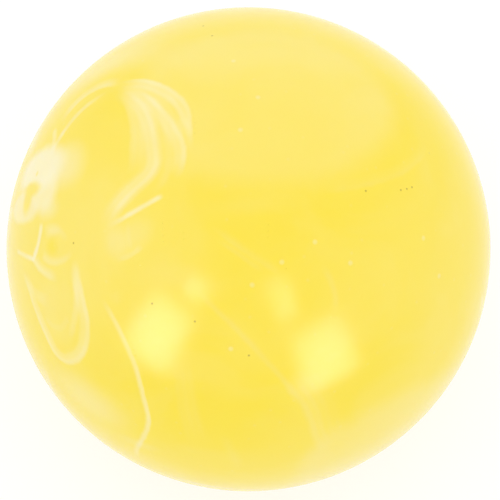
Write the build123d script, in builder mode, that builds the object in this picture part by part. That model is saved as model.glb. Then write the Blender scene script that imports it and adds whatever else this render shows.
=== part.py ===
from build123d import *
from math import atan2, cos, degrees, radians, sin
import os

os.makedirs("parts", exist_ok=True)

# A pool ball of cast resin: a yellow body, white marbling streaks and a white number disc.
# Millimetres. The origin is the ball's centre. The number disc faces +Y and reads with +Z up.
# The marbled side faces up and forward, towards +Z and -Y.

# Ball
ball_diameter = 57.15                   # the standard 2 1/4 inch ball
ball_radius = ball_diameter / 2

# Number disc, a plug of white resin cast into the body
disc_diameter = 18.0
disc_depth = 4.5                        # at the middle of its domed face
disc_back_round = 0.8                   # round on the edge of its buried back face

# Numeral on the disc, black resin
numeral_height = 9.6
numeral_depth = 1.6
numeral_stem = 1.9
numeral_foot_length = 5.4
numeral_foot_height = 1.3
numeral_flag_reach = 2.7                # how far the flag stands out from the stem's middle
numeral_flag_drop = 1.5
numeral_corner = 0.15

# Marbling streaks, white resin. Each is a ribbon that follows a circle on the ball's surface.
marbling_tilt = 72.0                    # height of the marbled side's middle above the horizon
fine_streak = 0.55
thin_streak = 0.75
streak = 1.05
band = 1.45
streak_base_depth = 1.2                 # a streak goes this deep, plus its own width
overcut = 1.0                           # the ribbons are made this much too tall, then trimmed

# Places on the marbled side are (east, north) in degrees from its middle. A streak is a list
# of places with a width: a circle through the first three, carried on smoothly to the others.
fan_streaks = [
    ([(-42.0, 40.5), (-30.0, 40.7), (-20.5, 36.8), (-15.6, 30.5), (-14.0, 22.5)], band - 0.1),
    ([(-41.5, 39.5), (-23.5, 32.5), (-16.5, 16.5)], thin_streak),
    ([(-42.0, 39.5), (-27.5, 31.2), (-22.7, 21.0), (-24.6, 15.0), (-32.5, 5.0)], band + 0.1),
    ([(-42.0, 39.0), (-30.0, 29.0), (-27.8, 18.0)], streak + 0.1),
    ([(-19.8, 11.8), (-26.0, 8.2), (-33.0, 4.8)], fine_streak),
    ([(-40.5, 40.3), (-53.5, 39.3), (-57.5, 33.5)], thin_streak + 0.1),
    ([(-42.5, 40.5), (-52.0, 33.5), (-55.8, 28.0)], fine_streak + 0.1),
]
loop_streaks = [
    (
        [(-63.0, -7.5), (-60.8, -15.5), (-57.3, -23.5), (-51.5, -26.8), (-44.5, -23.8),
         (-41.0, -15.0), (-42.3, -3.0)],
        band - 0.2,
    ),
]
tail_streaks = [
    (
        [(-34.8, -12.5), (-32.2, -16.5), (-30.3, -22.0), (-29.7, -30.0), (-31.0, -39.5),
         (-36.0, -46.3), (-50.0, -56.0)],
        thin_streak,
    ),
]
cell_streaks = [
    ([(-55.9, 5.0), (-56.4, 2.5), (-59.2, -1.6)], thin_streak),
    ([(-68.0, -0.6), (-63.0, -1.5), (-58.4, -1.5)], fine_streak),
    ([(-59.2, -1.0), (-57.0, -2.9), (-55.0, -5.5)], fine_streak + 0.1),
]

# One streak closes on itself as a ring
cell_ring_middle = (-50.5, 0.3)
cell_ring_radius = 4.7                  # degrees

# The knot is a broad white patch with a ragged yellow hole, drawn flat against the ball
# about its own middle, as (east, north) in millimetres
knot_middle = (-60.0, 15.5)
knot_depth = 3.6
knot_outline = [
    (-6.2, 0.0), (-4.9, 3.0), (-2.2, 4.7), (2.4, 4.7), (6.0, 3.9), (6.8, 1.6),
    (5.1, -1.4), (4.3, -3.9), (1.8, -4.5), (-2.4, -4.6), (-5.3, -3.6),
]
knot_hole = [
    (-4.1, -0.7), (-3.6, 0.9), (-1.9, 0.4), (0.1, -0.3), (-0.9, -1.4), (-1.6, -2.7), (-2.4, -1.6),
]


def place(east, north):
    """Direction from the ball's centre to a place on the marbled side."""
    across = cos(radians(north)) * sin(radians(east))
    up = sin(radians(north))
    out = cos(radians(north)) * cos(radians(east))
    tilt = radians(marbling_tilt)
    return Vector(across, up * sin(tilt) - out * cos(tilt), up * cos(tilt) + out * sin(tilt))


def turned_ribbon(first, pole, span, width):
    """A ribbon from the direction `first`, turned `span` degrees about the direction `pole`."""
    depth = streak_base_depth + width
    with BuildPart() as turned:
        with BuildSketch(Plane(origin=(0, 0, 0), x_dir=first, z_dir=pole.cross(first))):
            with Locations((ball_radius + overcut / 2 - depth / 2, 0)):
                Rectangle(depth + overcut, width)
        revolve(axis=Axis((0, 0, 0), pole), revolution_arc=span)
    return turned.part


def span_about(pole, first, last):
    """Degrees from one direction to another, turning about the direction `pole`."""
    from_side = first - pole * first.dot(pole)
    to_side = last - pole * last.dot(pole)
    return degrees(atan2(pole.cross(from_side).dot(to_side), from_side.dot(to_side))) % 360


def streak_ribbon(places, width):
    """One streak: ribbons end to end through its places."""
    spots = [place(*item) for item in places]
    pole = (spots[1] - spots[0]).cross(spots[2] - spots[1]).normalized()
    first = spots[0]
    with BuildPart() as whole:
        for spot in spots[2:]:
            add(turned_ribbon(first, pole, span_about(pole, first, spot), width))
            heading = pole.cross(spot)
            first = spot
            following = spots.index(spot) + 1
            if following < len(spots):
                pole = heading.cross(spots[following] - spot).normalized()
    return whole.part


# Fan: crescent streaks that spread from one cusp and close at another
with BuildPart() as fan_cut:
    for item in fan_streaks:
        add(streak_ribbon(*item))

with BuildPart() as swirl_fan:
    add(fan_cut.part)
    Sphere(ball_radius, mode=Mode.INTERSECT)

# Loop: the U of white below the knot
with BuildPart() as loop_cut:
    for item in loop_streaks:
        add(streak_ribbon(*item))

with BuildPart() as swirl_loop:
    add(loop_cut.part)
    Sphere(ball_radius, mode=Mode.INTERSECT)

# Tail: the long thin streak that runs down past the loop
with BuildPart() as tail_cut:
    for item in tail_streaks:
        add(streak_ribbon(*item))

with BuildPart() as swirl_tail:
    add(tail_cut.part)
    Sphere(ball_radius, mode=Mode.INTERSECT)

# Cell: a small ring with a forked streak on its left
cell_ring_start = place(cell_ring_middle[0], cell_ring_middle[1] + cell_ring_radius)
with BuildPart() as cell_cut:
    add(turned_ribbon(cell_ring_start, place(*cell_ring_middle), 360, streak))
    for item in cell_streaks:
        add(streak_ribbon(*item))

with BuildPart() as swirl_cell:
    add(cell_cut.part)
    Sphere(ball_radius, mode=Mode.INTERSECT)

# Knot: the broad white patch where the two resins folded together, with yellow in its hole
knot_out = place(*knot_middle)
knot_east = place(knot_middle[0] + 90, 0)
knot_floor = Plane(knot_out * (ball_radius - knot_depth), x_dir=knot_east, z_dir=knot_out)
with BuildPart() as knot_cut:
    with BuildSketch(knot_floor):
        with BuildLine():
            Spline(*knot_outline, periodic=True)
        make_face()
    extrude(amount=knot_depth + overcut)

with BuildPart() as knot_core:
    with BuildSketch(knot_floor):
        with BuildLine():
            Spline(*knot_hole, periodic=True)
        make_face()
    extrude(amount=knot_depth + overcut)

with BuildPart() as swirl_knot:
    add(knot_cut.part)
    Sphere(ball_radius, mode=Mode.INTERSECT)
    add(knot_core.part, mode=Mode.SUBTRACT)

# Numeral: a 1 with a flag and a foot, its face flush with the ball
numeral_plane = Plane(
    origin=(0, ball_radius - numeral_depth, 0), x_dir=(-1, 0, 0), z_dir=(0, 1, 0)
)
top = numeral_height / 2
foot_top = numeral_foot_height - top
with BuildPart() as numeral_cut:
    with BuildSketch(numeral_plane) as numeral_face:
        with BuildLine():
            Polyline(
                (-numeral_foot_length / 2, -top),
                (numeral_foot_length / 2, -top),
                (numeral_foot_length / 2, foot_top),
                (numeral_stem / 2, foot_top),
                (numeral_stem / 2, top),
                (-numeral_stem / 3, top),
                (-numeral_flag_reach, top - numeral_flag_drop),
                (-numeral_flag_reach, top - numeral_flag_drop - numeral_foot_height),
                (-numeral_stem / 2, top - numeral_flag_drop - numeral_foot_height / 3),
                (-numeral_stem / 2, foot_top),
                (-numeral_foot_length / 2, foot_top),
                close=True,
            )
        make_face()
        fillet(numeral_face.vertices(), numeral_corner)
    extrude(amount=numeral_depth + overcut)

with BuildPart() as numeral_one:
    add(numeral_cut.part)
    Sphere(ball_radius, mode=Mode.INTERSECT)

# Number disc: a round plug, domed with the ball, recessed for the numeral
disc_back = Plane(origin=(0, ball_radius - disc_depth, 0), x_dir=(-1, 0, 0), z_dir=(0, 1, 0))
with BuildPart() as disc_cut:
    with BuildSketch(disc_back):
        Circle(disc_diameter / 2)
    extrude(amount=disc_depth + overcut)
    fillet(disc_cut.edges().group_by(Axis.Y)[0], disc_back_round)

with BuildPart() as number_disc:
    add(disc_cut.part)
    Sphere(ball_radius, mode=Mode.INTERSECT)
    add(numeral_cut.part, mode=Mode.SUBTRACT)

# Body: the yellow resin, with a pocket for the disc and a channel for every streak
with BuildPart() as ball_body:
    Sphere(ball_radius)
    for cut in (disc_cut, fan_cut, loop_cut, tail_cut, cell_cut, knot_cut):
        add(cut.part, mode=Mode.SUBTRACT)
    with BuildPart(mode=Mode.ADD):
        add(knot_core.part)
        Sphere(ball_radius, mode=Mode.INTERSECT)

pieces = {
    "ball_body": ball_body,
    "number_disc": number_disc,
    "numeral_one": numeral_one,
    "swirl_fan": swirl_fan,
    "swirl_loop": swirl_loop,
    "swirl_tail": swirl_tail,
    "swirl_cell": swirl_cell,
    "swirl_knot": swirl_knot,
}
for name, piece in pieces.items():
    piece.part.label = name
    export_step(piece.part, f"parts/{name}.step")
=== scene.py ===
from math import acos, atan2, cos, pi, radians, sin, sqrt

import bmesh
import bpy
import numpy as np
from mathutils import Matrix, Vector, noise


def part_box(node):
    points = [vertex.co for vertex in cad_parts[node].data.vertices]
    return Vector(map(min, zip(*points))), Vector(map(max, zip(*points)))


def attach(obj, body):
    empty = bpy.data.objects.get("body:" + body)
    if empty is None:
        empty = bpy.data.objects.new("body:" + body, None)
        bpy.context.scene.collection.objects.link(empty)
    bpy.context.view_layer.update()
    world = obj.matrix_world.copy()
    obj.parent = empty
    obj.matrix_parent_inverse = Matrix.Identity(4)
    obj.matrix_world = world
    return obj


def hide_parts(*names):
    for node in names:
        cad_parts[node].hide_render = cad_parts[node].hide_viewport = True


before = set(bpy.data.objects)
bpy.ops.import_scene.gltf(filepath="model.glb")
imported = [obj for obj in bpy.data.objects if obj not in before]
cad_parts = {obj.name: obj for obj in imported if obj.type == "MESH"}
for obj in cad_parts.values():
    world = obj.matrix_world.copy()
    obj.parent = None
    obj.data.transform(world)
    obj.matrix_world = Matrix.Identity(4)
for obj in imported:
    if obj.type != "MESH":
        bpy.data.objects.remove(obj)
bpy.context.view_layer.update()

# ---------------------------------------------------------------------------------------------
# Ball. A solid sphere of lemon-yellow cast resin, turned and polished, with a shallow round
# pocket at its back (+Y) for the number disc. The white marbling was stirred into the yellow
# before it set, so it shows as soft streaks just under the gloss.
# ---------------------------------------------------------------------------------------------
ball_radius = (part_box("ball_body")[1].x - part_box("ball_body")[0].x) / 2
disc_radius = (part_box("number_disc")[1].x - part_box("number_disc")[0].x) / 2
pocket_depth = 0.0011
pocket_clear = 0.0255                   # new corners further back along Y than this stay put
rows_over_the_ball = 120
rows_in_the_pocket = 8
segments_round_the_ball = 240
seam_gap = 0.000002                     # corners closer than this are one
crease_angle = radians(35)              # edges that turn more than this are shaded sharp


class Tree:
    """Adds nodes to a tree in reading order and links them by value."""

    def __init__(self, tree):
        self.tree = tree

    def node(self, kind, inputs=(), **settings):
        made = self.tree.nodes.new(kind)
        for name, value in settings.items():
            setattr(made, name, value)
        for key, value in dict(inputs).items():
            self.give(made.inputs[key], value)
        return made

    def give(self, socket, value):
        if isinstance(value, bpy.types.NodeSocket):
            self.tree.links.new(value, socket)
        else:
            socket.default_value = value

    def math(self, operation, *values, clamp=False):
        numbers = dict(enumerate(values))
        made = self.node("ShaderNodeMath", numbers, operation=operation, use_clamp=clamp)
        return made.outputs[0]

    def vector(self, operation, *values):
        made = self.node("ShaderNodeVectorMath", dict(enumerate(values)), operation=operation)
        return made.outputs[1 if operation in ("LENGTH", "DISTANCE") else 0]

    def ramp(self, value, low, high, to_low=0.0, to_high=1.0, curve="SMOOTHSTEP"):
        made = self.node(
            "ShaderNodeMapRange",
            {0: value, 1: low, 2: high, 3: to_low, 4: to_high},
            interpolation_type=curve,
        )
        return made.outputs[0]

    def mix(self, share, first, second):
        made = self.node(
            "ShaderNodeMix", {"Factor": share, "A": first, "B": second}, data_type="RGBA"
        )
        return made.outputs["Result"]


def new_resin(name):
    """An empty material, and its tree."""
    made = bpy.data.materials.new(name)
    made.use_nodes = True
    made.node_tree.nodes.clear()
    return made, Tree(made.node_tree)


def put_in_scene(name, data):
    """A new object in the scene, at the origin."""
    made = bpy.data.objects.new(name, data)
    bpy.context.scene.collection.objects.link(made)
    return made


# The ball's mesh is a grid wrapped round the Y axis: first the pocket's floor, then its wall,
# then the sphere down to the far pole.
ball_tree = bpy.data.node_groups.new("turned ball", "GeometryNodeTree")
for name, kind in (
    ("Radius", "NodeSocketFloat"),
    ("Pocket radius", "NodeSocketFloat"),
    ("Pocket depth", "NodeSocketFloat"),
    ("Rows", "NodeSocketInt"),
    ("Pocket rows", "NodeSocketInt"),
    ("Segments", "NodeSocketInt"),
    ("Finish", "NodeSocketMaterial"),
):
    ball_tree.interface.new_socket(name, in_out="INPUT", socket_type=kind)
ball_tree.interface.new_socket("Ball", in_out="OUTPUT", socket_type="NodeSocketGeometry")
t = Tree(ball_tree)
given = t.node("NodeGroupInput").outputs
all_rows = t.math("ADD", given["Rows"], given["Pocket rows"])
grid = t.node(
    "GeometryNodeMeshGrid",
    {
        "Size X": 1.0,
        "Size Y": 1.0,
        "Vertices X": t.math("ADD", all_rows, 1.0),
        "Vertices Y": t.math("ADD", given["Segments"], 1.0),
    },
)
where = t.node("ShaderNodeSeparateXYZ", {0: t.node("GeometryNodeInputPosition").outputs[0]})
along = t.math("ADD", where.outputs[0], 0.5)
turn = t.math("MULTIPLY", t.math("ADD", where.outputs[1], 0.5), 2 * pi)
wall_top = t.math("DIVIDE", given["Pocket rows"], all_rows)
wall_foot = t.math("DIVIDE", t.math("SUBTRACT", given["Pocket rows"], 1.0), all_rows)
rim_angle = t.math("ARCSINE", t.math("DIVIDE", given["Pocket radius"], given["Radius"]))
angle = t.ramp(along, wall_top, 1.0, rim_angle, pi, "LINEAR")
spread = t.ramp(along, 0.0, wall_foot, 0.0, 1.0, "LINEAR")
sink = t.ramp(along, wall_foot, wall_top, given["Pocket depth"], 0.0, "LINEAR")
reach = t.math("MULTIPLY", t.math("MULTIPLY", given["Radius"], t.math("SINE", angle)), spread)
height = t.math("SUBTRACT", t.math("MULTIPLY", given["Radius"], t.math("COSINE", angle)), sink)
place_on_ball = t.node(
    "ShaderNodeCombineXYZ",
    {
        0: t.math("MULTIPLY", reach, t.math("COSINE", turn)),
        1: height,
        2: t.math("MULTIPLY", reach, t.math("SINE", turn)),
    },
)
wrapped = t.node(
    "GeometryNodeSetPosition",
    {"Geometry": grid.outputs["Mesh"], "Position": place_on_ball.outputs[0]},
)
outward = t.node("GeometryNodeFlipFaces", {"Mesh": wrapped.outputs[0]})
closed = t.node(
    "GeometryNodeMergeByDistance", {"Geometry": outward.outputs[0], "Distance": seam_gap}
)
shaded = t.node("GeometryNodeSetShadeSmooth", {"Geometry": closed.outputs[0]})
edge_angle = t.node("GeometryNodeInputMeshEdgeAngle").outputs["Unsigned Angle"]
creased = t.node(
    "GeometryNodeSetShadeSmooth",
    {
        "Geometry": shaded.outputs[0],
        "Selection": t.math("GREATER_THAN", edge_angle, crease_angle),
        "Shade Smooth": False,
    },
    domain="EDGE",
)
real = t.node("GeometryNodeRealizeInstances", {"Geometry": creased.outputs[0]})
finished = t.node(
    "GeometryNodeSetMaterial",
    {"Geometry": real.outputs[0], "Material": given["Finish"]},
)
t.node("NodeGroupOutput", {"Ball": finished.outputs[0]})

# The marbled side's middle stands this far above the horizon, facing forward (-Y). Places on
# it are (east, north) in degrees from that middle.
marbling_tilt = 72.0


def place(east, north):
    """Direction to a place on the marbled side, in that side's own axes."""
    across = cos(radians(north)) * sin(radians(east))
    return Vector((across, sin(radians(north)), cos(radians(north)) * cos(radians(east))))


# Folds: places where a paler pour lapped over the yellow, and last a painted reflection of the
# lit floor at the lower right edge. Each is the overlap of some circles, given by middle,
# radius and softness in degrees, and how white it is.
folds_and_painted_reflection = [
    ([((4.0, 20.0), 40.0, 9.0), ((5.5, 45.5), 31.5, 9.0)], 0.155),
    ([((4.0, -10.0), 82.5, 6.0), ((4.0, 90.0), 46.0, 10.0)], 0.05),
    # painted reflection of the lit floor, laid as pale resin at the lower right edge
    ([((69.5, -58.0), 27.5, 9.0), ((75.0, -40.0), 37.0, 7.0), ((0.0, 0.0), 80.0, 26.0)],
     0.17),
]
# Patches: middle, then half its long size, half its short size and the tilt of its long way in
# degrees, softness from 0 to 1, strength, and 1 for clean yellow or 0 for white. Each is laid
# over those before it.
patches = [
    # yellow inside the fan
    ((-32.0, 25.5), 18.0, 15.5, -20.0, 0.25, 0.75, 1),
    # the milk between its crescents
    ((-23.5, 25.0), 14.0, 7.5, -62.0, 1.0, 0.13, 0),
    # pale haze above the fan
    ((-62.0, 45.0), 15.0, 7.0, 35.0, 0.9, 0.20, 0),
    ((-46.0, 51.0), 20.0, 9.0, 0.0, 1.0, 0.17, 0),
    # below the loop, a painted reflection of the lit floor at the lower left edge
    ((-52.5, -36.5), 14.0, 9.0, -35.0, 0.9, 0.28, 0),
    ((-44.0, -51.0), 8.0, 3.0, -25.0, 1.0, 0.12, 0),
    # inside the loop
    ((-51.0, -14.5), 10.0, 10.0, 0.0, 0.6, 0.09, 0),
    # veil below the fan
    ((-30.6, 1.6), 4.4, 5.6, 20.0, 0.8, 0.18, 0),
    ((-25.6, 3.2), 6.4, 4.6, 25.0, 0.9, 0.13, 0),
    ((-31.4, -10.8), 2.3, 2.3, 0.0, 0.9, 0.06, 0),
    # clouds over the left and the right, then in the middle
    ((-42.0, 3.0), 52.0, 42.0, 0.0, 1.0, 0.175, 0),
    ((48.0, -5.0), 42.0, 40.0, 0.0, 1.0, 0.09, 0),
    ((0.0, -22.0), 12.0, 8.0, -40.0, 1.0, 0.06, 0),
    # clean yellow where the fan starts
    ((-45.5, 38.0), 5.0, 2.5, 0.0, 1.0, 0.9, 1),
    # bands of haze and of clean yellow across the middle
    ((3.0, 10.0), 17.0, 3.5, 3.0, 1.0, 0.06, 0),
    ((-15.0, -6.0), 10.0, 5.0, -15.0, 1.0, 0.05, 0),
    ((-5.0, 4.0), 9.0, 2.5, -15.0, 1.0, 0.6, 1),
    ((5.0, -40.0), 13.0, 9.0, -70.0, 1.0, 0.6, 1),
    # knot, and the ragged yellow hole in it
    ((-50.5, 19.5), 9.5, 7.5, 0.0, 0.7, 0.34, 0),
    ((-53.0, 9.2), 5.5, 3.6, 0.0, 0.9, 0.36, 0),
    ((-62.0, 18.6), 14.0, 7.2, 8.0, 0.5, 0.80, 0),
    ((-66.0, 9.6), 10.0, 4.4, 0.0, 0.35, 0.50, 0),
    ((-56.0, 13.5), 6.5, 6.5, 0.0, 0.6, 0.60, 0),
    ((-63.2, 14.0), 6.4, 2.5, 5.0, 0.7, 0.92, 1),
    ((-64.2, 11.2), 3.3, 4.6, 0.0, 0.7, 0.92, 1),
    ((-62.5, 17.6), 1.0, 0.9, 0.0, 0.8, 0.55, 1),
    # cell
    ((-50.3, 4.5), 4.2, 1.8, -5.0, 0.7, 0.20, 0),
    ((-50.5, 0.3), 3.2, 3.2, 0.0, 0.9, 0.9, 1),
    # the side turned down and back
    ((120.0, 10.0), 30.0, 13.0, 35.0, 0.9, 0.16, 0),
    ((-125.0, -20.0), 26.0, 12.0, -50.0, 0.9, 0.16, 0),
    ((160.0, -45.0), 24.0, 10.0, 10.0, 0.9, 0.20, 0),
    ((-100.0, 55.0), 20.0, 9.0, 20.0, 0.9, 0.14, 0),
]
# Streaks: places, width at the start and at the end, softness of the side on the left of the
# way it runs and of the side on the right, how far it fades in and out at its ends, all in
# degrees, and how white it is. Below 0 it is a streak of clean yellow.
streaks = [
    # fan, from the outside in, each crisp outside and trailing off inside
    ([(-44.0, 41.0), (-30.0, 40.7), (-20.5, 36.8), (-15.6, 30.5), (-14.0, 21.0)],
     0.5, 0.6, 0.6, 6.5, 8, 9, 0.44),
    ([(-26.0, 38.6), (-18.6, 32.8), (-14.6, 25.5)], 0.3, 0.4, 0.5, 1.2, 6, 4, 0.20),
    ([(-23.0, 35.2), (-17.4, 29.0), (-15.4, 22.5)], 0.3, 0.3, 0.4, 0.5, 4, 4, -0.25),
    ([(-38.0, 39.6), (-24.0, 32.9), (-17.2, 25.5), (-17.0, 15.5)],
     0.4, 0.8, 0.8, 3.6, 10, 6, 0.42),
    ([(-29.0, 37.0), (-20.4, 26.0), (-19.2, 18.0), (-22.5, 12.0)],
     0.4, 0.5, 1.0, 1.4, 6, 6, 0.10),
    ([(-42.0, 39.5), (-27.3, 31.2), (-22.4, 21.0), (-24.6, 15.0), (-29.4, 10.6), (-33.5, 3.6)],
     0.5, 0.6, 1.6, 3.4, 10, 8, 0.42),
    ([(-41.0, 38.0), (-31.0, 29.5), (-28.4, 15.0)], 0.6, 2.0, 3.6, 0.8, 10, 10, 0.22),
    ([(-19.3, 12.0), (-26.0, 8.4), (-34.0, 4.5)], 0.35, 0.5, 0.6, 0.8, 1.5, 8, 0.54),
    # the lines from the fan back to the knot, with clean yellow between them
    ([(-41.0, 40.3), (-53.5, 39.3), (-60.0, 30.0)], 0.5, 0.8, 1.0, 2.2, 6, 5, 0.34),
    ([(-43.0, 39.6), (-53.0, 37.0), (-59.0, 29.5)], 0.8, 1.2, 0.8, 0.8, 5, 4, -0.60),
    ([(-45.0, 38.8), (-52.5, 33.4), (-57.0, 25.5)], 0.3, 0.7, 0.9, 1.2, 7, 2, 0.30),
    ([(-55.6, 29.0), (-57.0, 26.0), (-57.8, 22.0)], 0.4, 0.9, 1.0, 1.0, 1.5, 1, 0.34),
    ([(-63.0, 29.0), (-60.0, 26.5), (-58.0, 23.0)], 0.4, 0.9, 1.0, 1.0, 1.5, 1, 0.34),
    # veil
    ([(-27.8, 6.4), (-27.2, 3.0), (-26.4, -0.6)], 0.3, 0.3, 0.4, 1.2, 2, 2, 0.10),
    ([(-30.6, -2.2), (-27.6, -1.6), (-23.8, 1.0)], 0.4, 0.7, 0.9, 0.4, 2, 2, 0.20),
    # loop, and the fainter lines within it
    ([(-64.5, -4.5), (-60.8, -14.0), (-58.2, -22.6), (-52.2, -26.6), (-44.9, -23.8),
      (-41.0, -15.0), (-42.3, -2.0)], 0.5, 0.8, 2.8, 0.8, 8, 8, 0.38),
    ([(-42.9, -1.5), (-42.8, -9.0), (-45.0, -16.0), (-49.5, -21.0)],
     0.9, 0.6, 1.0, 1.0, 4, 6, 0.20),
    ([(-66.0, -5.0), (-60.5, -9.5), (-53.0, -12.0)], 0.5, 2.0, 1.2, 0.8, 4, 4, 0.14),
    ([(-57.0, -15.0), (-52.0, -18.0), (-47.0, -14.5)], 0.4, 0.5, 0.9, 0.9, 3, 3, 0.10),
    # tail
    ([(-35.5, -11.0), (-32.2, -16.5), (-30.3, -22.0), (-29.7, -30.0), (-31.0, -39.5),
      (-36.2, -46.6), (-60.0, -58.5)], 0.35, 0.45, 0.6, 1.0, 5, 10, 0.37),
    # cell: the forked line, then the two arcs round the dark middle
    ([(-55.2, 6.4), (-55.8, 2.6), (-58.9, -1.9)], 0.9, 0.7, 0.7, 0.7, 1.5, 1, 0.50),
    ([(-69.0, -0.4), (-63.0, -1.5), (-58.0, -2.1)], 0.4, 0.7, 0.5, 0.5, 2, 1, 0.50),
    ([(-59.2, -1.4), (-56.6, -3.8), (-48.3, -6.7)], 0.6, 1.0, 1.6, 0.8, 1, 4, 0.32),
    ([(-44.8, 1.6), (-48.0, 3.9), (-53.0, 2.6)], 0.4, 0.9, 1.4, 0.8, 3, 2, 0.14),
    ([(-54.6, -1.2), (-50.0, -3.1), (-43.2, 0.2)], 0.7, 0.4, 1.4, 0.8, 1.5, 4, 0.20),
    # thin drawn-out lines across the middle and the lower right
    ([(15.0, 12.6), (26.0, 14.1), (39.0, 17.5), (50.0, 24.0)], 0.6, 0.4, 2.4, 0.8, 8, 6, 0.06),
    ([(-9.0, 5.5), (-0.8, -0.4), (7.0, -5.6)], 0.3, 0.4, 1.6, 0.6, 5, 3, 0.07),
    ([(-8.0, 2.8), (-2.4, -1.0), (3.6, -5.2)], 0.3, 0.3, 1.2, 0.6, 5, 3, 0.06),
    ([(-13.0, -8.0), (1.8, -22.7), (14.0, -36.0)], 0.3, 0.5, 1.1, 0.8, 10, 4, 0.08),
    ([(8.0, -29.0), (15.5, -36.5), (21.0, -44.5), (33.0, -53.0)],
     0.5, 1.0, 9.0, 1.4, 7, 8, 0.13),
    ([(16.0, -3.0), (19.0, -8.5), (20.0, -15.0)], 0.5, 0.6, 0.9, 0.9, 4, 4, 0.06),
    ([(-16.6, -24.0), (-17.4, -36.0), (-18.5, -52.0)], 1.6, 2.4, 2.5, 2.0, 8, 8, 0.06),
    ([(-9.0, -46.0), (-6.0, -54.0), (-5.0, -62.0)], 0.8, 1.2, 1.5, 1.5, 5, 5, 0.05),
    # the side turned down and back
    ([(-72.0, 20.0), (-92.0, 35.0), (-113.0, 38.0), (-130.0, 26.0)],
     1.4, 0.5, 0.9, 4.5, 6, 12, 0.38),
    ([(-76.0, 24.0), (-95.0, 31.0), (-112.0, 33.0), (-124.0, 25.0)],
     0.4, 0.4, 1.0, 1.6, 8, 12, 0.16),
    ([(-74.0, 9.0), (-95.0, 3.0), (-112.0, -12.0), (-117.0, -32.0)],
     1.2, 0.4, 4.2, 0.9, 6, 14, 0.34),
    ([(-73.0, 5.0), (-92.0, -3.0), (-106.0, -17.0), (-109.0, -34.0)],
     0.4, 0.6, 1.8, 0.9, 8, 12, 0.18),
    ([(-68.0, -28.0), (-88.0, -40.0), (-120.0, -44.0)], 0.4, 0.8, 0.8, 3.4, 6, 10, 0.28),
    ([(-132.0, 24.0), (-150.0, 12.0), (-165.0, -12.0)], 0.4, 0.9, 3.4, 0.9, 8, 10, 0.28),
    ([(74.0, 42.0), (98.0, 24.0), (112.0, -4.0), (108.0, -30.0)],
     0.4, 0.8, 4.0, 0.9, 8, 12, 0.28),
    ([(72.0, 36.0), (93.0, 20.0), (105.0, -3.0)], 0.3, 0.5, 1.4, 0.9, 8, 10, 0.14),
    ([(72.0, -10.0), (90.0, -22.0), (104.0, -42.0)], 0.4, 0.6, 0.8, 2.6, 6, 8, 0.24),
    ([(-60.0, -66.0), (0.0, -80.0), (84.0, -68.0)], 0.5, 0.7, 3.4, 0.9, 8, 10, 0.24),
    ([(140.0, 40.0), (150.0, 15.0), (178.0, -2.0)], 0.4, 0.8, 3.6, 0.9, 8, 10, 0.26),
]
# Bubbles that met the polished surface: pale specks of trapped polish, and dark open pinholes.
specks = [
    (2.6, 36.0), (-5.0, 47.5), (14.7, 1.6), (43.0, 2.5), (23.0, -3.0), (7.3, -2.8),
    (48.7, -6.0), (0.8, -7.8), (-4.2, -22.4), (-2.0, 27.3),
]
pinholes = [
    (-15.8, 58.0), (-24.0, 63.5), (-43.0, 1.4), (27.6, 13.0), (37.4, 13.3), (39.3, 13.6),
    (41.0, 14.0), (-12.3, -16.0), (-22.2, -12.0), (0.1, -24.0),
]


def smooth(share):
    """0 below 0, 1 above 1, and a smooth rise between."""
    share = np.clip(share, 0.0, 1.0)
    return share * share * (3.0 - 2.0 * share)


# A run is the part of a circle on the ball that carries a streak from one of its places to
# another. Each streak is a chain of runs, every one carrying on from the last without a kink.
run_lap = 0.002                         # runs of one streak lap by this much, in radians
runs = []
for places, first_width, last_width, left_soft, right_soft, fade_in, fade_out, white in streaks:
    spots = [place(*item) for item in places]
    pole = (spots[1] - spots[0]).cross(spots[2] - spots[1]).normalized()
    first = spots[0]
    count = len(spots) - 2
    for number, last in enumerate(spots[2:]):
        from_side = (first - pole * first.dot(pole)).normalized()
        to_side = (last - pole * last.dot(pole)).normalized()
        span = atan2(pole.dot(from_side.cross(to_side)), from_side.dot(to_side)) % (2 * pi)
        middle = Matrix.Rotation(span / 2, 3, pole) @ from_side
        circle = acos(first.dot(pole))
        lap = run_lap / sin(circle)
        runs.append(
            {
                "pole": pole,
                "middle": middle,
                "side": pole.cross(middle),
                "circle": circle,
                "reach": span / 2 + lap / 2,
                "widths": [
                    radians(first_width + (last_width - first_width) * end / count)
                    for end in (number, number + 1)
                ],
                "soft": (radians(left_soft), radians(right_soft)),
                "fades": (
                    radians(fade_in) / sin(circle) if number == 0 else lap,
                    radians(fade_out) / sin(circle) if number == count - 1 else lap,
                ),
                "white": white,
            }
        )
        heading = pole.cross(last)
        first = last
        if number < count - 1:
            pole = heading.cross(spots[number + 3] - last).normalized()


def along_run(run, spots):
    """For each spot, how far it is from a run's circle, and how far round the run it is."""
    across = np.arccos(np.clip(spots @ np.array(run["pole"]), -1.0, 1.0)) - run["circle"]
    return across, np.arctan2(spots @ np.array(run["side"]), spots @ np.array(run["middle"]))


layer_width = radians(0.3)              # a streak is made of thin layers, whiter and yellower
layer_strength = 0.14
unevenness = 0.4                        # how much a streak's strength comes and goes along it
unevenness_scale = 9.0


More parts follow.
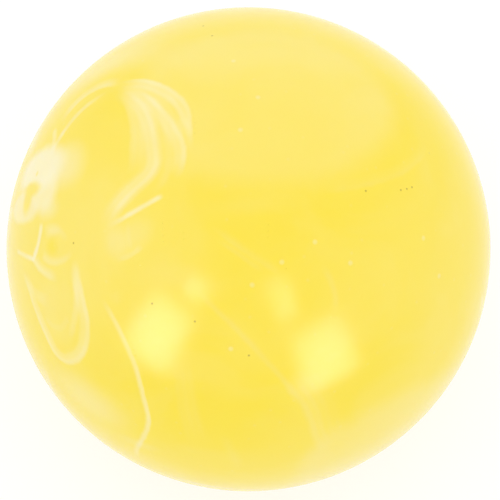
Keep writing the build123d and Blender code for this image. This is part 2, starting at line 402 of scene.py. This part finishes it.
def white_at(spots):
    """How white the resin is at each spot on the ball, from 0 for clean yellow to 1."""
    yellow = np.ones(len(spots))
    uneven = np.array(
        [1.0 + unevenness * noise.noise(Vector(spot) * unevenness_scale) for spot in spots]
    )
    for circles, white in folds_and_painted_reflection:
        cover = white
        for middle, radius, softness in circles:
            away = np.degrees(np.arccos(np.clip(spots @ np.array(place(*middle)), -1.0, 1.0)))
            cover = cover * smooth((radius - away) / softness + 0.5)
        yellow *= 1 - cover
    for middle, long_way, short_way, tilt, softness, strength, clean in patches:
        out_way = place(*middle)
        east = place(middle[0] + 90, 0)
        leaning = Matrix.Rotation(radians(tilt), 3, out_way)
        longways = spots @ np.array(leaning @ east) / sin(radians(long_way))
        shortways = spots @ np.array(leaning @ out_way.cross(east)) / sin(radians(short_way))
        cover = strength * smooth((1 - np.hypot(longways, shortways)) / softness)
        yellow += (clean - yellow) * cover * (spots @ np.array(out_way) > 0)
    for run in runs:
        across, way = along_run(run, spots)
        half = np.interp(way, (-run["reach"], run["reach"]), run["widths"]) / 2
        left_soft, right_soft = run["soft"]
        outside = np.maximum((across - half) / right_soft, (-across - half) / left_soft)
        fade_in, fade_out = run["fades"]
        ends = smooth((way + run["reach"]) / fade_in) * smooth((run["reach"] - way) / fade_out)
        layers = 1 - layer_strength + layer_strength * np.cos(across / layer_width)
        cover = abs(run["white"]) * smooth(1 - outside) * ends * layers * uneven
        yellow += ((run["white"] < 0) - yellow) * cover
    return 1 - yellow


def marbled_side(points):
    """Points on the ball turned into directions in the marbled side's own axes."""
    turn = Matrix.Rotation(radians(marbling_tilt - 90), 3, "X")
    return [(turn @ point).normalized() for point in points]


# How the resin wandered while it was stirred: the scale and the reach of each wave. Without a
# seed of its own the noise would start from the clock, and differ from run to run.
wanders = [(7.0, 0.006), (38.0, 0.0022)]
wander_seed = 1
noise.seed_set(wander_seed)


def stir(spots):
    """Directions moved a little, as the resin wandered."""
    return np.array(
        [
            sum(
                (noise.noise_vector(spot * scale) * reach for scale, reach in wanders), spot
            ).normalized()
            for spot in spots
        ]
    )


lemon_yellow = (0.83, 0.66, 0.032, 1)
milk_white = (0.83, 0.775, 0.52, 1)
pinhole_brown = (0.36, 0.24, 0.02, 1)
speck_strength = 0.30
dust_strength = 0.07
resin, t = new_resin("marbled yellow resin")
spot = t.node("ShaderNodeTexCoord").outputs["Object"]
turned = t.node(
    "ShaderNodeVectorRotate",
    {
        "Vector": t.vector("NORMALIZE", spot),
        "Axis": (1, 0, 0),
        "Angle": radians(marbling_tilt - 90),
    },
    rotation_type="AXIS_ANGLE",
).outputs[0]
streaked = t.node("ShaderNodeAttribute", attribute_name="white").outputs["Fac"]
cloud = t.node(
    "ShaderNodeTexNoise", {"Vector": turned, "Scale": 2.6, "Detail": 4.0, "Distortion": 0.8}
)
haze = t.ramp(cloud.outputs[0], 0.35, 0.7, 1.0, 0.94)
yellow = t.math("MULTIPLY", t.math("SUBTRACT", 1.0, streaked), haze)


def nearest(places):
    """How far the nearest of some places is, on a ball of radius 1."""
    gaps = [t.vector("DISTANCE", turned, place(*item)) for item in places]
    closest = gaps[0]
    for gap in gaps[1:]:
        closest = t.math("MINIMUM", closest, gap)
    return closest


dust = t.node("ShaderNodeTexVoronoi", {"Vector": turned, "Scale": 13.0})
speck = t.math(
    "MAXIMUM",
    t.ramp(nearest(specks), 0.003, 0.014, speck_strength, 0.0),
    t.ramp(dust.outputs["Distance"], 0.03, 0.13, dust_strength, 0.0),
)
pinhole = t.ramp(nearest(pinholes), 0.002, 0.006, 1.0, 0.0)
yellow = t.math("MULTIPLY", yellow, t.math("SUBTRACT", 1.0, speck))
marbled = t.mix(t.math("SUBTRACT", 1.0, yellow, clamp=True), lemon_yellow, milk_white)
colour = t.mix(t.math("MULTIPLY", pinhole, 0.7), marbled, pinhole_brown)
wear = t.node("ShaderNodeTexNoise", {"Vector": turned, "Scale": 5.0, "Detail": 5.0})
dent = t.node(
    "ShaderNodeBump",
    {"Height": t.math("SUBTRACT", 1.0, pinhole), "Strength": 0.5, "Distance": 0.00004},
)
shader = t.node(
    "ShaderNodeBsdfPrincipled",
    {
        "Base Color": colour,
        "Roughness": t.ramp(wear.outputs[0], 0.3, 0.7, 0.15, 0.20),
        "Normal": dent.outputs[0],
        "IOR": 1.5,
        "Subsurface Weight": 0.3,
        "Subsurface Scale": 0.0012,
        "Subsurface Radius": (1.0, 0.8, 0.25),
    },
)
t.node("ShaderNodeOutputMaterial", {"Surface": shader.outputs[0]})

ball = put_in_scene("ball", bpy.data.meshes.new("ball blank"))
making = ball.modifiers.new("turned ball", "NODES")
making.node_group = ball_tree
for item in ball_tree.interface.items_tree:
    if item.in_out == "INPUT":
        making[item.identifier] = {
            "Radius": ball_radius,
            "Pocket radius": disc_radius,
            "Pocket depth": pocket_depth,
            "Rows": rows_over_the_ball,
            "Pocket rows": rows_in_the_pocket,
            "Segments": segments_round_the_ball,
            "Finish": resin,
        }[item.name]
bpy.context.view_layer.update()
graph = bpy.context.evaluated_depsgraph_get()
turned_mesh = bpy.data.meshes.new_from_object(ball.evaluated_get(graph), depsgraph=graph)
ball.modifiers.clear()
ball.data = turned_mesh

# The mesh is made finer, twice, along the streaks and over the small patches, so that each
# corner can carry how white it is. Each time has a margin round the streaks, in radians, and
# the most of a streak's softness that it covers, in degrees.
refinements = [(0.016, 5.0), (0.006, 1.7)]
small_patch = 6.0                       # degrees over which a patch fades, at most
faint_patch = 0.1                       # a patch no stronger than this is left as it is
patch_reach = 10.0                      # degrees from a patch's middle, at most
finer = bmesh.new()
finer.from_mesh(turned_mesh)
for margin, widest in refinements:
    faces = finer.faces[:]
    middles = np.array(marbled_side([face.calc_center_median() for face in faces]))
    wanted = np.zeros(len(faces), bool)
    for run in runs:
        across, way = along_run(run, middles)
        wide = max(run["widths"]) / 2 + margin
        left_soft, right_soft = (min(soft, radians(widest)) for soft in run["soft"])
        inside = (across < wide + right_soft) & (across > -wide - left_soft)
        wanted |= inside & (abs(way) < run["reach"] + margin)
    for middle, long_way, short_way, tilt, softness, strength, clean in patches:
        if short_way * softness < small_patch and strength > faint_patch:
            away = np.arccos(np.clip(middles @ np.array(place(*middle)), -1.0, 1.0))
            wanted |= away < radians(min(long_way, patch_reach)) + margin
    edges = {edge for face, want in zip(faces, wanted) if want for edge in face.edges}
    split = bmesh.ops.subdivide_edges(finer, edges=list(edges), cuts=1, use_grid_fill=True)
    for item in split["geom_inner"]:
        if isinstance(item, bmesh.types.BMVert) and item.co.y < pocket_clear:
            item.co *= ball_radius / item.co.length
finer.to_mesh(turned_mesh)
finer.free()
corners = marbled_side([vert.co for vert in turned_mesh.vertices])
whiteness = turned_mesh.attributes.new("white", "FLOAT", "POINT")
whiteness.data.foreach_set("value", white_at(stir(corners)))
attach(ball, "root")
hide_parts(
    "ball_body", "swirl_fan", "swirl_knot", "swirl_cell", "swirl_loop", "swirl_tail"
)

# ---------------------------------------------------------------------------------------------
# Number disc. A round plug of ivory resin pressed and cast into the pocket at the back, ground
# and polished with the ball. The yellow has crept a little way into its edge.
# ---------------------------------------------------------------------------------------------
disc_clearance = 0.00002
disc_under_flush = 0.00001              # keeps its face clear of the numeral's
disc_rows = 30
disc_segments = 180
disc_seam_gap = 0.000001                # corners closer than this are one
stain_width = 0.0014                    # how far in from the edge the yellow crept
stain_raggedness = 0.0006
joint_line = (0.00012, 0.00004)         # the thin dark line in the joint, in from the edge


def polished(build, name):
    """A finished mesh, shaded smooth but for its sharp edges."""
    for face in build.faces:
        face.smooth = True
    for edge in build.edges:
        edge.smooth = edge.calc_face_angle(0) < crease_angle
    mesh = bpy.data.meshes.new(name)
    build.to_mesh(mesh)
    build.free()
    return mesh


plug_radius = disc_radius - disc_clearance
dome = ball_radius - disc_under_flush
dome_radii = [plug_radius * row / disc_rows for row in range(disc_rows + 1)]
disc_profile = [(radius, sqrt(dome**2 - radius**2)) for radius in dome_radii]
disc_foot = sqrt(ball_radius**2 - disc_radius**2) - pocket_depth
disc_profile += [(plug_radius, disc_foot + disc_clearance), (0.0, disc_foot + disc_clearance)]
disc_build = bmesh.new()
for (radius, height), (next_radius, next_height) in zip(disc_profile, disc_profile[1:]):
    for segment in range(disc_segments):
        start, end = (2 * pi * (segment + side) / disc_segments for side in (0, 1))
        corners = [
            (radius, height, start),
            (radius, height, end),
            (next_radius, next_height, end),
            (next_radius, next_height, start),
        ]
        places = [(reach * sin(way), up, reach * cos(way)) for reach, up, way in corners]
        disc_build.faces.new([disc_build.verts.new(item) for item in dict.fromkeys(places)])
bmesh.ops.remove_doubles(disc_build, verts=disc_build.verts, dist=disc_seam_gap)
bmesh.ops.recalc_face_normals(disc_build, faces=disc_build.faces)
disc = put_in_scene("disc", polished(disc_build, "number disc"))

ivory_light = (0.83, 0.80, 0.70, 1)
ivory_dark = (0.78, 0.74, 0.62, 1)
stain_yellow = (0.80, 0.66, 0.18, 1)
joint_brown = (0.34, 0.25, 0.06, 1)
ivory, t = new_resin("ivory resin")
spot = t.node("ShaderNodeTexCoord").outputs["Object"]
from_middle = t.vector("LENGTH", t.vector("MULTIPLY", spot, (1.0, 0.0, 1.0)))
ragged = t.node("ShaderNodeTexNoise", {"Vector": spot, "Scale": 900.0, "Detail": 3.0})
stain_reach = t.math(
    "ADD",
    from_middle,
    t.math("MULTIPLY", t.math("SUBTRACT", ragged.outputs[0], 0.5), stain_raggedness),
)
stain = t.ramp(stain_reach, disc_radius - stain_width, disc_radius, 0.0, 0.45)
joint = t.ramp(from_middle, *(disc_radius - inward for inward in joint_line), 0.0, 0.6)
mottle = t.node("ShaderNodeTexNoise", {"Vector": spot, "Scale": 260.0, "Detail": 4.0})
mottled = t.mix(t.ramp(mottle.outputs[0], 0.35, 0.65), ivory_light, ivory_dark)
stained = t.mix(stain, mottled, stain_yellow)
edged = t.mix(joint, stained, joint_brown)
wear = t.node("ShaderNodeTexNoise", {"Vector": spot, "Scale": 400.0, "Detail": 5.0})
shader = t.node(
    "ShaderNodeBsdfPrincipled",
    {
        "Base Color": edged,
        "Roughness": t.ramp(wear.outputs[0], 0.3, 0.7, 0.15, 0.22),
        "IOR": 1.56,
        "Subsurface Weight": 0.2,
        "Subsurface Scale": 0.0006,
        "Subsurface Radius": (1.0, 0.9, 0.7),
    },
)
t.node("ShaderNodeOutputMaterial", {"Surface": shader.outputs[0]})
disc.data.materials.append(ivory)
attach(disc, "root")
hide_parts("number_disc")

# ---------------------------------------------------------------------------------------------
# Numeral. A plain 1 of black resin let into the disc, flush with its face, so its top follows
# the ball. It reads from behind the ball with +Z up.
# ---------------------------------------------------------------------------------------------
numeral_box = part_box("numeral_one")
numeral_height = numeral_box[1].z - numeral_box[0].z
foot_length = numeral_box[1].x - numeral_box[0].x
foot_height = 0.0013
stem = 0.0019
flag_reach = 0.0027
flag_drop = 0.0015
numeral_corner = 0.00015
numeral_sides = 0.0004                  # depth of its sides, which end inside the disc
numeral_grid = 0.0004                   # its face is cut this fine, to follow the ball
numeral_cuts = 14                       # cuts on each side of its middle, both ways

top = numeral_height / 2
outline = [
    (-foot_length / 2, -top),
    (foot_length / 2, -top),
    (foot_length / 2, foot_height - top),
    (stem / 2, foot_height - top),
    (stem / 2, top),
    (-stem / 3, top),
    (-flag_reach, top - flag_drop),
    (-flag_reach, top - flag_drop - foot_height),
    (-stem / 2, top - flag_drop - foot_height / 3),
    (-stem / 2, foot_height - top),
    (-foot_length / 2, foot_height - top),
]
build = bmesh.new()
build.faces.new([build.verts.new((-right, 0.0, up)) for right, up in outline])
bmesh.ops.bevel(
    build, geom=build.verts[:], offset=numeral_corner, segments=3, affect="VERTICES", profile=0.5
)
for axis in (Vector((1, 0, 0)), Vector((0, 0, 1))):
    for step in range(-numeral_cuts, numeral_cuts + 1):
        bmesh.ops.bisect_plane(
            build,
            geom=build.verts[:] + build.edges[:] + build.faces[:],
            plane_co=axis * (step * numeral_grid + numeral_grid / 3),
            plane_no=axis,
        )
bmesh.ops.recalc_face_normals(build, faces=build.faces)
sides = bmesh.ops.extrude_face_region(build, geom=build.faces[:])
lowered = {item for item in sides["geom"] if isinstance(item, bmesh.types.BMVert)}
for vert in build.verts:
    up = sqrt(ball_radius**2 - vert.co.x**2 - vert.co.z**2)
    vert.co.y = up - numeral_sides if vert in lowered else up
bmesh.ops.recalc_face_normals(build, faces=build.faces)
numeral = put_in_scene("numeral", polished(build, "numeral"))

ink_black = (0.012, 0.011, 0.010, 1)
ink_grey = (0.035, 0.031, 0.024, 1)
grain_grey = (0.22, 0.20, 0.15, 1)
black, t = new_resin("black resin")
spot = t.node("ShaderNodeTexCoord").outputs["Object"]
mottle = t.node("ShaderNodeTexNoise", {"Vector": spot, "Scale": 700.0, "Detail": 5.0})
grains = t.node("ShaderNodeTexVoronoi", {"Vector": spot, "Scale": 1800.0})
ink = t.mix(t.ramp(mottle.outputs[0], 0.35, 0.7), ink_black, ink_grey)
speckled = t.mix(t.ramp(grains.outputs["Distance"], 0.04, 0.12, 0.5, 0.0), ink, grain_grey)
shader = t.node(
    "ShaderNodeBsdfPrincipled",
    {
        "Base Color": speckled,
        "Roughness": t.ramp(mottle.outputs[0], 0.3, 0.7, 0.16, 0.26),
        "IOR": 1.56,
    },
)
t.node("ShaderNodeOutputMaterial", {"Surface": shader.outputs[0]})
numeral.data.materials.append(black)
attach(numeral, "root")
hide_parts("numeral_one")

# ---------------------------------------------------------------------------------------------
# Surroundings. A pale floor, a large soft lamp at the front left and another at the front
# right, each with a smaller one above it, and even white light from the room.
# ---------------------------------------------------------------------------------------------
floor_half = 3.0
floor_level = -ball_radius
floor_grey = 0.4
floor_glow = 0.6
room_glow = 1.2
lamp_distance = 0.6
# Name, azimuth and lift in degrees, width and height in metres, and brightness
lamps = [
    ("left lamp", -41, 19, 0.30, 0.48, 4.2),
    ("left lamp top", -35, 47, 0.15, 0.16, 3.0),
    ("right lamp", 32, 13, 0.32, 0.46, 3.9),
    ("right lamp top", 22, 47, 0.15, 0.28, 2.6),
]
camera_elevation = radians(marbling_tilt)
camera_distance = 12 * ball_radius

floor_mesh = bpy.data.meshes.new("floor")
floor_corners = ((-1, -1), (1, -1), (1, 1), (-1, 1))
floor_mesh.from_pydata(
    [(right * floor_half, back * floor_half, floor_level) for right, back in floor_corners],
    [],
    [(0, 1, 2, 3)],
)
floor = put_in_scene("floor", floor_mesh)
floor_paint = bpy.data.materials.new("pale floor")
floor_paint.use_nodes = True
paint = floor_paint.node_tree.nodes["Principled BSDF"].inputs
paint["Base Color"].default_value = (floor_grey, floor_grey, floor_grey, 1)
paint["Roughness"].default_value = 0.9
paint["Specular IOR Level"].default_value = 0.0
paint["Emission Color"].default_value = (1, 1, 1, 1)
paint["Emission Strength"].default_value = floor_glow
floor.data.materials.append(floor_paint)

room = bpy.data.worlds.new("room")
room.use_nodes = True
room_light = room.node_tree.nodes["Background"].inputs
room_light["Color"].default_value = (1, 1, 1, 1)
room_light["Strength"].default_value = room_glow
bpy.context.scene.world = room


def soft_lamp(name, azimuth, lift, width, tall, brightness):
    """A rectangular lamp facing the ball, fading towards its edges. It shows in the gloss but
    adds no other light. Azimuth 0 is in front (-Y) and 90 is at +X."""
    towards = Vector(
        (
            sin(radians(azimuth)) * cos(radians(lift)),
            -cos(radians(azimuth)) * cos(radians(lift)),
            sin(radians(lift)),
        )
    )
    light = bpy.data.lights.new(name, "AREA")
    light.shape = "RECTANGLE"
    light.size = width
    light.size_y = tall
    light.energy = brightness * pi * width * tall
    light.use_nodes = True
    t = Tree(light.node_tree)
    across = t.node(
        "ShaderNodeSeparateXYZ",
        {0: t.node("ShaderNodeNewGeometry").outputs["Parametric"]},
    )
    fades = []
    for side in (across.outputs[0], across.outputs[1]):
        inward = t.math("MULTIPLY", side, t.math("SUBTRACT", 1.0, side))
        fades.append(t.ramp(inward, 0.0, 0.25))
    t.give(light.node_tree.nodes["Emission"].inputs["Strength"], t.math("MULTIPLY", *fades))
    lamp = put_in_scene(name, light)
    lamp.location = towards * lamp_distance
    lamp.rotation_euler = towards.to_track_quat("Z", "Y").to_euler()
    lamp.visible_camera = False
    lamp.visible_diffuse = False


for lamp in lamps:
    soft_lamp(*lamp)

bpy.context.scene.view_settings.view_transform = "Standard"

camera = put_in_scene("camera", bpy.data.cameras.new("camera"))
camera.data.sensor_width = 36
camera.data.lens = 208.4
camera.data.clip_start = 0.01
camera.data.shift_x = 0.003
camera.data.shift_y = -0.0014
camera.location = (
    0,
    -camera_distance * cos(camera_elevation),
    camera_distance * sin(camera_elevation),
)
camera.rotation_euler = (pi / 2 - camera_elevation, 0, 0)
bpy.context.scene.camera = camera
